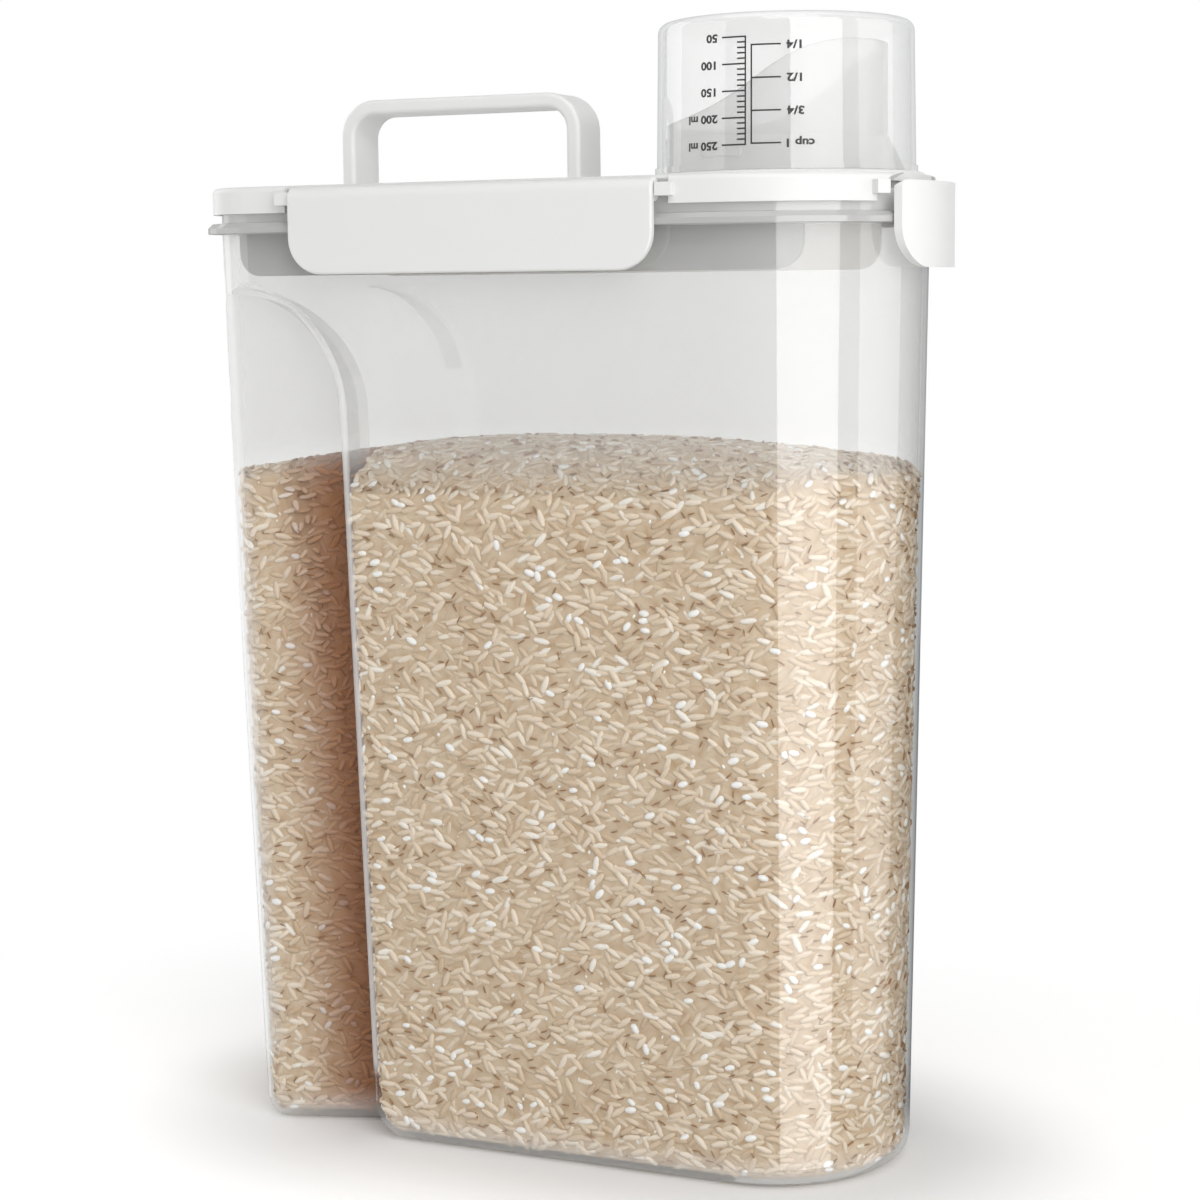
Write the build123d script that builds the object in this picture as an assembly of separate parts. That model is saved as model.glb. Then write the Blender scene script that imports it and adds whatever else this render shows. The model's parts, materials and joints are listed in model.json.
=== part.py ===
from build123d import *
import math
import os

# All lengths are in millimetres. X runs along the container to its pouring end, Y across it, and Z up.

# Container shell
mouth_half = 54.5
nose_x = 69.5
tail_x = -124.0
tail_corner = 18.0
wall = 2.2
floor_thick = 2.6
flange_low = 327.0
flange_high = 3.5
flange_out = 5.0
flange_bevel = 1.6
neck_high = 7.5
side_lean = 5.8
base_round = 8.0

# Grip hollows in the two long sides
grip_length = 56.0
step_rake = 5.5
step_drop = 62.0
arch_radius = 41.5
step_round = 6.0
foot_corner = 15.0
grip_floor_shift = 0.5
grip_depth = 25.7
grip_turn = 18.3
grip_corner_more = 0.6
grip_skin = 0.05

# Rice
rice_gap = 0.3
rice_drop = 73.0
rice_long_radius = 600.0
rice_cross_radius = 78.0

# Lid
skirt_out = 3.0
skirt_wall = 1.9
skirt_gap = 3.2
rim_gap = 2.4
lid_thick = 2.6
lid_round = 2.0
plug_gap = 1.4
plug_wall = 1.8
plug_drop = 9.0
guide_drop = 15.0
guide_tail_gap = 12.0
guide_nose_reach = 26.5
guide_round_left = 9.0
guide_round_right = 9.0
seat_margin = 2.3
seat_high = 1.2
seat_round = 0.8

# Gasket
gasket_drop = 2.5
gasket_high = 4.5
gasket_gap = 0.3

# Side latches
latch_shift = 1.25
latch_length = 135.8
latch_drop = 14.8
latch_gap = 1.0
latch_wall = 2.4
latch_corner = 12.5
latch_edge_round = 0.9
latch_neck_gap = 0.4
hinge_drop = 4.8
pin_radius = 1.2
pin_length = 2.5
pin_play = 0.3
hook_gap = 1.0
hook_high = 3.4
hook_clear = 0.15
hook_bevel = 0.6
hook_inset = 6.0
swing_gap = 0.4
latch_end_gap = 0.4
notch_margin = 3.8
notch_lip_in = 1.1
lug_drop = 2.1
lug_rise = 2.3
lug_proud = 2.3
lug_root = 2.0

# Pouring-end latch, with its angles in degrees
nose_latch_turn = 27.8
nose_hook_turn = 25.5
nose_notch_turn = 33.5
nose_cheek_turn = 30.5
nose_cheek_root_turn = 35.5
nose_latch_corner = 13.5
nose_top_drop = 2.6
nose_top_slope = 2.0
nose_top_corner = 2.0
nose_hinge_out = 2.3
nose_hinge_drop = 6.0
nose_barrel_radius = 1.8
nose_barrel_half = 9.0
nose_pin_radius = 0.9
nose_pin_length = 2.4
nose_lug_length = 3.0
nose_lug_drop = 1.8
nose_lug_rise = 1.4
nose_root_in = 2.0
nose_root_out = 0.7
nose_root_gap = 0.3
nose_arm_in = 0.1
nose_web_rise = 1.0
nose_swing_from = 0.3

# Carry handle
handle_tail_gap = 31.8
handle_length = 94.7
handle_high = 31.8
handle_thick = 5.2
handle_deep = 20.0
handle_round = 13.0
handle_edge = 1.6

# Pouring spout
spout_shift = 5.8
tube_back = 3.2
spout_radius = 37.6
spout_wall = 2.0
spout_tail_high = 18.0
spout_mid_high = 28.0
spout_front_high = 44.5
collar_out = 0.2
collar_top_out = 0.6
collar_high = 12.0
cup_lug_out = 0.5
cup_lug_rise = 5.0
cup_lug_high = 2.7
cup_lug_turn = -103.0
cup_lug_arc = 21.5

# Measuring cup
cup_gap = 0.2
cup_rim_gap = 1.6
cup_spout_gap = 1.0
cup_headroom = 6.0
cup_wall = 1.6
cup_round = 3.6
cup_bead_out = 0.6
cup_bead_high = 2.2

# Shared cutting allowances
overrun = 40.0
overlap = 0.5

# Heights worked out from the sizes above
flange_top = flange_low + flange_high
rim_top = flange_top + neck_high
lid_under = rim_top + rim_gap
lid_top = lid_under + lid_thick
seat_top = lid_top + seat_high
skirt_low = flange_top + skirt_gap
plug_low = rim_top - plug_drop
guide_low = flange_low - guide_drop
step_high = flange_low - step_drop
rice_crown = flange_low - rice_drop
latch_low = flange_low - latch_drop
nose_latch_top = lid_top - nose_top_drop
hinge_z = lid_top - hinge_drop
hook_top = flange_low - hook_gap
hook_low = hook_top - hook_high
lug_low = hinge_z - lug_drop
lug_top = hinge_z + lug_rise
nose_hinge_z = lid_top - nose_hinge_drop
handle_top = lid_top + handle_high
spout_front_z = lid_top + spout_front_high
cup_low = seat_top + cup_gap
cup_top = spout_front_z + cup_headroom + cup_wall

# Places along and across the container
nose_tip = nose_x + mouth_half
step_low_x = tail_x + grip_length
step_high_x = step_low_x - step_rake
grip_floor_x = step_low_x + grip_floor_shift
grip_floor_y = grip_depth - mouth_half
grip_corner = base_round + grip_corner_more
side_middle = (tail_x + tail_corner + nose_x) / 2
latch_left = side_middle + latch_shift - latch_length / 2
latch_right = latch_left + latch_length
latch_face_out = flange_out + latch_gap + latch_wall
latch_inner_out = flange_out + latch_gap
barrel_radius = (latch_face_out - latch_neck_gap) / 2
hinge_out = latch_neck_gap + barrel_radius
nose_hinge_x = nose_tip + nose_hinge_out
handle_left = tail_x + handle_tail_gap
handle_right = handle_left + handle_length
spout_x = nose_x + spout_shift
tube_x = spout_x - tube_back
collar_radius = spout_radius + tube_back + collar_out
collar_top_radius = spout_radius + collar_top_out
cup_rim_radius = collar_radius + cup_rim_gap + cup_wall
cup_top_radius = spout_radius + tube_back + cup_spout_gap + cup_wall
seat_radius = cup_rim_radius + cup_bead_out + seat_margin

# Radii that a latch needs to swing clear of the lid
swing_radius = barrel_radius + swing_gap
nose_swing_radius = swing_gap + math.hypot(latch_face_out - nose_hinge_out, nose_latch_top - nose_hinge_z)

# Half angles of the pouring-end latch, in radians
nose_hook_half = math.radians(nose_hook_turn)
nose_notch_half = math.radians(nose_notch_turn)
nose_cheek_half = math.radians(nose_cheek_turn)
nose_cheek_root_half = math.radians(nose_cheek_root_turn)

lean_turn = math.degrees(math.atan2(side_lean, flange_low))
lean_cos = math.cos(math.radians(lean_turn))
lean_sin = math.sin(math.radians(lean_turn))
grip_cos = math.cos(math.radians(grip_turn))
grip_sin = math.sin(math.radians(grip_turn))
length_reach = nose_tip - tail_x


def plan(grow):
    """Outline of the mouth seen from above, grown outward by the given length."""
    half = mouth_half + grow
    turn = tail_corner + grow
    left = tail_x - grow
    inner = left + turn
    side = half - turn
    return make_face([
        Line((inner, -half), (nose_x, -half)),
        CenterArc((nose_x, 0), half, -90, 180),
        Line((nose_x, half), (inner, half)),
        CenterArc((inner, side), turn, 90, 90),
        Line((left, side), (left, -side)),
        CenterArc((inner, -side), turn, 180, 90),
    ])


def band(grow, low, high):
    """Straight block with the mouth's outline, between two heights."""
    return extrude(Pos(0, 0, low) * plan(grow), amount=high - low)


def ring(outer, inner, low, high):
    """Wall that follows the mouth's outline."""
    return band(outer, low, high) - band(inner, low - overlap, high + overlap)


def box_between(low, high):
    """Box from its two opposite corners."""
    size = [b - a for a, b in zip(low, high)]
    centre = [(a + b) / 2 for a, b in zip(low, high)]
    return Pos(*centre) * Box(*size)


def rod_x(x_low, x_high, y, z, radius):
    """Rod along X."""
    return Pos((x_low + x_high) / 2, y, z) * Rot(0, 90, 0) * Cylinder(radius, x_high - x_low)


def rod_y(y_low, y_high, x, z, radius):
    """Rod along Y."""
    return Pos(x, (y_low + y_high) / 2, z) * Rot(90, 0, 0) * Cylinder(radius, y_high - y_low)


def tub(inset, low):
    """Leaning lower part of the container, moved inward by the given length."""
    top = Pos(0, 0, flange_low) * plan(-inset)
    block = extrude(top, amount=flange_low - low, dir=(0, 0, -1), taper=lean_turn)
    return fillet(block.edges().group_by(Axis.Z)[0], base_round - inset)


def grip_keep(inset, low):
    """Everything except the hollow in the front side, moved inward by the given length."""
    base = low - grip_skin
    front = Plane(
        origin=(0, side_lean - mouth_half - grip_skin + inset, 0),
        x_dir=(1, 0, 0),
        z_dir=(0, -lean_cos, -lean_sin),
    )
    step_foot = Vector(step_low_x + inset, base)
    step_head = Vector(step_high_x + inset, step_high)
    rise = step_head - step_foot
    step_line = Line(step_foot, step_head)
    turn = math.degrees(math.atan2(rise.Y, -rise.X))
    arch = JernArc(step_head, (rise.X, rise.Y), arch_radius + inset, turn)
    arch_end = arch @ 1
    far_left = tail_x - overrun
    far_right = nose_tip + overrun
    far_top = rim_top + overrun
    outline = make_face([
        step_line,
        arch,
        Line(arch_end, (far_left, arch_end.Y)),
        Line((far_left, arch_end.Y), (far_left, far_top)),
        Line((far_left, far_top), (far_right, far_top)),
        Line((far_right, far_top), (far_right, base)),
        Line((far_right, base), step_foot),
    ])
    foot = outline.vertices().sort_by_distance((step_foot.X, step_foot.Y, 0))[0]
    outline = fillet(foot, foot_corner - inset)
    main = extrude(front * outline, amount=2 * mouth_half, dir=(0, 1, 0))
    main = fillet(main.faces().sort_by(Axis.Y)[0].edges(), step_round - inset)
    back = Plane(
        origin=(grip_floor_x - inset * grip_sin, grip_floor_y + inset * grip_cos, 0),
        x_dir=(grip_cos, grip_sin, 0),
        z_dir=(grip_sin * lean_cos, -grip_cos * lean_cos, -lean_sin),
    )
    sheet = make_face(Polyline(
        (-length_reach, base),
        (length_reach, base),
        (length_reach, far_top),
        (-length_reach, far_top),
        close=True,
    ))
    slab = extrude(back * sheet, amount=length_reach, dir=(-grip_sin, grip_cos, 0))
    end_x = tail_x + side_lean - grip_skin + inset
    end = Plane(origin=(end_x, 0, 0), x_dir=(0, -1, 0), z_dir=(-lean_cos, 0, -lean_sin))
    slab = slab & extrude(end * sheet, amount=2 * length_reach, dir=(1, 0, 0))
    corner = slab.edges().sort_by_distance((tail_x, -mouth_half, flange_low / 2))[0]
    slab = fillet(corner, grip_corner - inset)
    slab = fillet(slab.faces().sort_by(Axis.Z)[0].edges(), base_round - inset)
    return main + slab


def hollowed(inset, low):
    """Leaning part with both grip hollows, moved inward by the given length."""
    keep = grip_keep(inset, low)
    return tub(inset, low) & keep & mirror(keep, about=Plane.XZ)


def make_container():
    """Clear shell: leaning tub, flange, neck and open mouth."""
    flange = band(flange_out, flange_low, flange_low + flange_high)
    flange = chamfer(flange.edges().group_by(Axis.Z)[-1], flange_bevel)
    shell = hollowed(0, 0) + flange + band(0, flange_low, rim_top)
    shell = shell - hollowed(wall, floor_thick)
    return shell - band(-wall, flange_low - overlap, rim_top + overlap)


def make_rice():
    """Rice standing in the tub, crowned along its middle."""
    inset = wall + rice_gap
    bulk = hollowed(inset, floor_thick + rice_gap)
    far_side = mouth_half + overrun
    far_left = tail_x - overrun
    far_right = nose_tip + overrun
    long_axis_z = rice_crown - rice_long_radius
    cross_axis_z = rice_crown - rice_cross_radius
    long_roll = rod_y(-far_side, far_side, 0, long_axis_z, rice_long_radius)
    cross_roll = rod_x(far_left, far_right, 0, cross_axis_z, rice_cross_radius)
    cross_rest = box_between((far_left, -far_side, -overrun), (far_right, far_side, cross_axis_z))
    return bulk & long_roll & (cross_roll + cross_rest)


def nose_ring(inner, outer, low, high, half):
    """Part of a round wall about the pouring end, within a half angle of the X axis."""
    disc = Circle(outer) - Circle(inner)
    solid = extrude(Pos(nose_x, 0, low) * disc, amount=high - low)
    reach = outer + overrun
    wedge = make_face(Polyline(
        (nose_x, 0),
        (nose_x + reach, -reach * math.tan(half)),
        (nose_x + reach, reach * math.tan(half)),
        close=True,
    ))
    return solid & extrude(Pos(0, 0, low) * wedge, amount=high - low)


def side_latch_fittings(cap):
    """Front notch of the lid, with the two lugs that carry the latch's pins."""
    hinge_y = -mouth_half - hinge_out
    left = latch_left - notch_margin
    right = latch_right + notch_margin
    inner_y = -mouth_half - skirt_out + skirt_wall + overlap
    outer_y = -mouth_half - skirt_out - overrun
    lip_y = -mouth_half - skirt_out + notch_lip_in
    cap = cap - box_between((left, outer_y, skirt_low - overrun), (right, inner_y, hinge_z))
    cap = cap - box_between((left, outer_y, skirt_low), (right, lip_y, lid_top + overrun))
    cap = cap - rod_x(left, right, hinge_y, hinge_z, swing_radius)
    for near, far in (
        (latch_left - latch_end_gap, left - lug_root),
        (latch_right + latch_end_gap, right + lug_root),
    ):
        low_x = min(near, far)
        high_x = max(near, far)
        lug = box_between((low_x, hinge_y - lug_proud, lug_low), (high_x, inner_y - overlap, lug_top))
        cap = cap + lug
        tip = near + math.copysign(pin_length + pin_play, far - near)
        hole = rod_x(min(near, tip), max(near, tip), hinge_y, hinge_z, pin_radius + pin_play)
        cap = cap - hole
    return cap


def nose_latch_fittings(cap):
    """End notch of the lid, with its cheeks and the middle lugs that carry the latch."""
    inner = mouth_half + skirt_out - skirt_wall - overlap
    outer = mouth_half + skirt_out + overrun
    cap = cap - nose_ring(inner, outer, skirt_low - overlap, lid_under, nose_notch_half)
    bite = rod_y(-mouth_half, mouth_half, nose_hinge_x, nose_hinge_z, nose_swing_radius)
    bite_from = mouth_half + nose_swing_from
    cap = cap - (bite & nose_ring(bite_from, outer, skirt_low, lid_top + overrun, nose_notch_half))
    cheek_in = inner + overlap
    cheek_out = mouth_half + latch_inner_out
    cheek = nose_ring(cheek_in, cheek_out, lug_low, lug_top, nose_cheek_root_half)
    middle = nose_ring(cheek_in - overlap, cheek_out + overlap, lug_low - overlap, lug_top + overlap,
                       nose_cheek_half)
    cap = cap + (cheek - middle)
    for side in (-1, 1):
        near = side * (nose_barrel_half + latch_end_gap)
        far = near + side * nose_lug_length
        low_y = min(near, far)
        high_y = max(near, far)
        arm = box_between(
            (nose_tip - nose_arm_in, low_y, nose_hinge_z - nose_lug_drop),
            (nose_hinge_x, high_y, nose_hinge_z + nose_lug_rise),
        )
        root = box_between(
            (nose_tip - nose_root_in, low_y, rim_top + nose_root_gap),
            (nose_tip + nose_root_out, high_y, lid_under + overlap),
        )
        eye = rod_y(low_y, high_y, nose_hinge_x, nose_hinge_z, nose_lug_drop)
        cap = cap + arm + root + eye
        tip = near + side * (nose_pin_length + pin_play)
        hole_radius = nose_pin_radius + pin_play
        hole = rod_y(min(near, tip), max(near, tip), nose_hinge_x, nose_hinge_z, hole_radius)
        cap = cap - hole
    return cap


def make_lid():
    """Lid: crowned skirt, plug with two guide plates, latch notches and seat of the cup."""
    cap = band(skirt_out, skirt_low, lid_top)
    cap = fillet(cap.edges().group_by(Axis.Z)[-1], lid_round)
    cap = cap - band(skirt_out - skirt_wall, skirt_low - overlap, lid_under)
    plug_out = -wall - plug_gap
    plug = ring(plug_out, plug_out - plug_wall, guide_low, lid_under + overlap)
    guide_left = tail_x + guide_tail_gap
    guide_right = nose_x + guide_nose_reach
    guide = make_face(Polyline(
        (guide_left, guide_low),
        (guide_right, guide_low),
        (guide_right, plug_low),
        (guide_left, plug_low),
        close=True,
    ))
    low_corners = guide.vertices().group_by(Axis.Y)[0].sort_by(Axis.X)
    guide = fillet(low_corners[0], guide_round_left)
    guide = fillet(guide.vertices().sort_by_distance((guide_right, guide_low, 0))[0], guide_round_right)
    guide = extrude(Plane.XZ * guide, amount=mouth_half, both=True)
    top_part = box_between(
        (tail_x - overrun, -mouth_half - overrun, plug_low),
        (nose_tip + overrun, mouth_half + overrun, lid_under + overlap),
    )
    cap = cap + (plug & (guide + top_part))
    cap = side_latch_fittings(cap)
    cap = mirror(side_latch_fittings(mirror(cap, about=Plane.XZ)), about=Plane.XZ)
    cap = nose_latch_fittings(cap)
    seat = Pos(spout_x, 0, lid_top + seat_high / 2) * Cylinder(seat_radius, seat_high)
    seat = fillet(seat.edges().group_by(Axis.Z)[-1], seat_round)
    cap = cap + seat
    return cap - Pos(tube_x, 0, lid_top) * Cylinder(spout_radius, overrun)


def make_gasket():
    """Seal around the lid's plug."""
    top = rim_top - gasket_drop
    return ring(-wall - gasket_gap, -wall - plug_gap, top - gasket_high, top)


def make_handle():
    """Upright carry handle standing on the lid."""
    outer = make_face(Polyline(
        (handle_left, lid_top),
        (handle_right, lid_top),
        (handle_right, handle_top),
        (handle_left, handle_top),
        close=True,
    ))
    outer = fillet(outer.vertices().group_by(Axis.Y)[-1], handle_round)
    inner = make_face(Polyline(
        (handle_left + handle_thick, lid_top - overlap),
        (handle_right - handle_thick, lid_top - overlap),
        (handle_right - handle_thick, handle_top - handle_thick),
        (handle_left + handle_thick, handle_top - handle_thick),
        close=True,
    ))
    inner = fillet(inner.vertices().group_by(Axis.Y)[-1], handle_round - handle_thick)
    loop = extrude(Plane.XZ * (outer - inner), amount=handle_deep / 2, both=True)
    sides = loop.faces().filter_by(Axis.Y)
    return fillet(sides.edges().filter_by(lambda e: e.center().Z > lid_top + overlap), handle_edge)


def make_side_latch():
    """Long front latch: plate with a rounded hinge barrel as its top, stub pins and a snap hook."""
    face_y = -mouth_half - latch_face_out
    inner_y = face_y + latch_wall
    hinge_y = -mouth_half - hinge_out
    plate = make_face(Polyline(
        (latch_left, latch_low),
        (latch_right, latch_low),
        (latch_right, hinge_z),
        (latch_left, hinge_z),
        close=True,
    ))
    plate = fillet(plate.vertices().group_by(Axis.Y)[0], latch_corner)
    plate = extrude(Plane.XZ.offset(-inner_y) * plate, amount=latch_wall)
    rim = plate.faces().sort_by(Axis.Y)[0].edges()
    plate = fillet(rim.filter_by(lambda e: e.center().Z < hinge_z - overlap), latch_edge_round)
    barrel = rod_x(latch_left, latch_right, hinge_y, hinge_z, barrel_radius)
    barrel = fillet(barrel.edges().filter_by(GeomType.CIRCLE), latch_edge_round)
    pins = rod_x(latch_left - pin_length, latch_right + pin_length, hinge_y, hinge_z, pin_radius)
    hook = box_between(
        (latch_left + hook_inset, inner_y - overlap, hook_low),
        (latch_right - hook_inset, -mouth_half - flange_out - hook_clear, hook_top),
    )
    lead = hook.edges().filter_by(Axis.X).sort_by(Axis.Y)[-2:].sort_by(Axis.Z)[0]
    hook = chamfer(lead, hook_bevel)
    return plate + barrel + pins + hook


def make_nose_latch():
    """Curved latch on the pouring end, with a short straight hinge in its middle."""
    outer = mouth_half + latch_face_out
    inner = mouth_half + latch_inner_out
    half = outer * math.sin(math.radians(nose_latch_turn))
    shield = make_face(Polyline(
        (-half, latch_low),
        (half, latch_low),
        (half, nose_latch_top),
        (-half, nose_latch_top),
        close=True,
    ))
    shield = fillet(shield.vertices().group_by(Axis.Y)[-1], nose_top_corner)
    shield = fillet(shield.vertices().group_by(Axis.Y)[0], nose_latch_corner)
    shield = extrude(Plane.YZ.offset(nose_x) * shield, amount=outer + overrun)
    plate = shield & nose_ring(inner, outer, latch_low, nose_latch_top, nose_notch_half)
    bevel = make_face(Polyline(
        (inner, nose_latch_top - nose_top_slope),
        (outer, nose_latch_top),
        (inner, nose_latch_top),
        close=True,
    ))
    plate = plate - Pos(nose_x, 0, 0) * revolve(Plane.XZ * bevel, axis=Axis.Z)
    hook_in = mouth_half + flange_out + hook_clear
    hook = nose_ring(hook_in, inner + overlap, hook_low, hook_top, nose_hook_half)
    web = box_between(
        (nose_hinge_x, -nose_barrel_half, nose_hinge_z - nose_barrel_radius),
        (nose_x + inner + overlap, nose_barrel_half, nose_hinge_z + nose_web_rise),
    )
    barrel = rod_y(-nose_barrel_half, nose_barrel_half, nose_hinge_x, nose_hinge_z, nose_barrel_radius)
    pin_half = nose_barrel_half + nose_pin_length
    pins = rod_y(-pin_half, pin_half, nose_hinge_x, nose_hinge_z, nose_pin_radius)
    return plate + hook + web + barrel + pins


def make_spout():
    """Pouring spout: round tube with a swept mouth, and a slanted collar that takes the cup."""
    tube = Pos(tube_x, 0, lid_under) * extrude(Circle(spout_radius), amount=cup_top - lid_under)
    collar = loft([
        Pos(spout_x, 0, seat_top) * Circle(collar_radius),
        Pos(tube_x, 0, seat_top + collar_high) * Circle(collar_top_radius),
    ])
    start = (tube_x - spout_radius - overlap, lid_top + spout_tail_high)
    middle = (tube_x, lid_top + spout_mid_high)
    finish = (tube_x + spout_radius + overlap, spout_front_z)
    far_top = cup_top + overrun
    above = make_face([
        Spline(start, middle, finish, tangents=[(1, 0), (1, 0)]),
        Line(finish, (finish[0], far_top)),
        Line((finish[0], far_top), (start[0], far_top)),
        Line((start[0], far_top), start),
    ])
    tube = tube - extrude(Plane.XZ * above, amount=mouth_half, both=True)
    reach = collar_radius + overrun
    side = reach * math.tan(math.radians(cup_lug_arc / 2))
    wedge = make_face(Polyline((0, 0), (reach, -side), (reach, side), close=True))
    tab = Circle(collar_radius + cup_lug_out) - Circle(spout_radius)
    tab = tab & (Rot(0, 0, cup_lug_turn) * wedge)
    tab = Pos(spout_x, 0, seat_top + cup_lug_rise) * extrude(tab, amount=cup_lug_high)
    bore = extrude(Circle(spout_radius - spout_wall), amount=far_top - lid_under)
    bore = Pos(tube_x, 0, lid_under - overlap) * bore
    return tube + collar + tab + mirror(tab, about=Plane.XZ) - bore


def make_cup():
    """Clear measuring cup, standing upside down over the spout."""
    fall = (cup_rim_radius - cup_top_radius) / (cup_top - cup_low)
    outer = make_face(Polyline(
        (0, cup_low),
        (cup_rim_radius, cup_low),
        (cup_top_radius, cup_top),
        (0, cup_top),
        close=True,
    ))
    outer = fillet(outer.vertices().sort_by_distance((cup_top_radius, cup_top, 0))[0], cup_round)
    inner_top = cup_top - cup_wall
    inner = make_face(Polyline(
        (0, cup_low - overlap),
        (cup_rim_radius - cup_wall, cup_low - overlap),
        (cup_top_radius - cup_wall + fall * cup_wall, inner_top),
        (0, inner_top),
        close=True,
    ))
    inner = fillet(inner.vertices().sort_by_distance((cup_top_radius - cup_wall, inner_top, 0))[0],
                   cup_round - cup_wall)
    bead = make_face(Polyline(
        (cup_rim_radius - cup_wall, cup_low),
        (cup_rim_radius + cup_bead_out, cup_low),
        (cup_rim_radius + cup_bead_out, cup_low + cup_bead_high),
        (cup_rim_radius - cup_wall, cup_low + cup_bead_high),
        close=True,
    ))
    section = outer + bead - inner
    return Pos(spout_x, 0, 0) * revolve(Plane.XZ * section, axis=Axis.Z)


os.makedirs("parts", exist_ok=True)
front_latch = make_side_latch()
pieces = {
    "container_body": make_container(),
    "rice_fill": make_rice(),
    "lid": make_lid(),
    "lid_gasket": make_gasket(),
    "carry_handle": make_handle(),
    "front_latch": front_latch,
    "rear_latch": mirror(front_latch, about=Plane.XZ),
    "spout_latch": make_nose_latch(),
    "pour_spout": make_spout(),
    "measuring_cup": make_cup(),
}
for name, piece in pieces.items():
    solids = piece.solids()
    print(name, len(solids), [round(s.volume) for s in solids])
    export_step(piece, f"parts/{name}.step")
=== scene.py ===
"""Looks of a rice storage container: clear shell, loose rice, white lid and printed measuring cup."""

import json
import logging
import math
from dataclasses import dataclass, field
from enum import Enum

import bmesh
import bpy
from mathutils import Matrix, Vector

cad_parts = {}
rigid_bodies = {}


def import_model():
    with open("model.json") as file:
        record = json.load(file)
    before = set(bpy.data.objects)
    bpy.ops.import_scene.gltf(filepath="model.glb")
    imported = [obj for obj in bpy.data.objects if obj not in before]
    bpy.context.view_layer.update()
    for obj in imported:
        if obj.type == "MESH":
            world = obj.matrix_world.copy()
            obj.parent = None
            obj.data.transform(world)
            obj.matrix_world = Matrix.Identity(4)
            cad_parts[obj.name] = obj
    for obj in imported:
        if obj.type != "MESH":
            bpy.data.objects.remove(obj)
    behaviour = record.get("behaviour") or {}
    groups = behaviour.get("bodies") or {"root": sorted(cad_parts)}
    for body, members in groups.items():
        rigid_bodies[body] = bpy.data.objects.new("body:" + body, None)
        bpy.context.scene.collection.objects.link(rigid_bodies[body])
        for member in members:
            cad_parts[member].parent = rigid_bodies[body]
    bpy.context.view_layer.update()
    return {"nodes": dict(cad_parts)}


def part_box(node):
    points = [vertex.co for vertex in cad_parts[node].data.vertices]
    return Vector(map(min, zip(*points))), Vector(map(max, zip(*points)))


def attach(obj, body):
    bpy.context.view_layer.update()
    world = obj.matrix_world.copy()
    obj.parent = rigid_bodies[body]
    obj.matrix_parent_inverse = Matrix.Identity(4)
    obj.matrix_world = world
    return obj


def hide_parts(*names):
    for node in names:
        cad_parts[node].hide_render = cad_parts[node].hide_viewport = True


for leftover in list(bpy.data.objects):
    bpy.data.objects.remove(leftover)

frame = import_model()

LOG = logging.getLogger("rice_container")
MM = 0.001
GRAIN_MAP = "OFBake"
GLOSS_POWER = 5.0

Colour = tuple[float, float, float]


class Body(Enum):
    """The moving groups that the pieces ride on."""

    CONTAINER = "container"
    CUP = "cup"


class Slot(Enum):
    """The finishes that the record names."""

    RICE = "rice"


class Draw(Enum):
    """Seeds of the random draws that a grain takes."""

    STRAY_X = 11
    STRAY_Y = 12
    STRAY_Z = 13
    LIFT = 14
    SINK = 15
    SIZE = 16
    TONE = 17
    LOT = 18


# Node graphs


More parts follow.
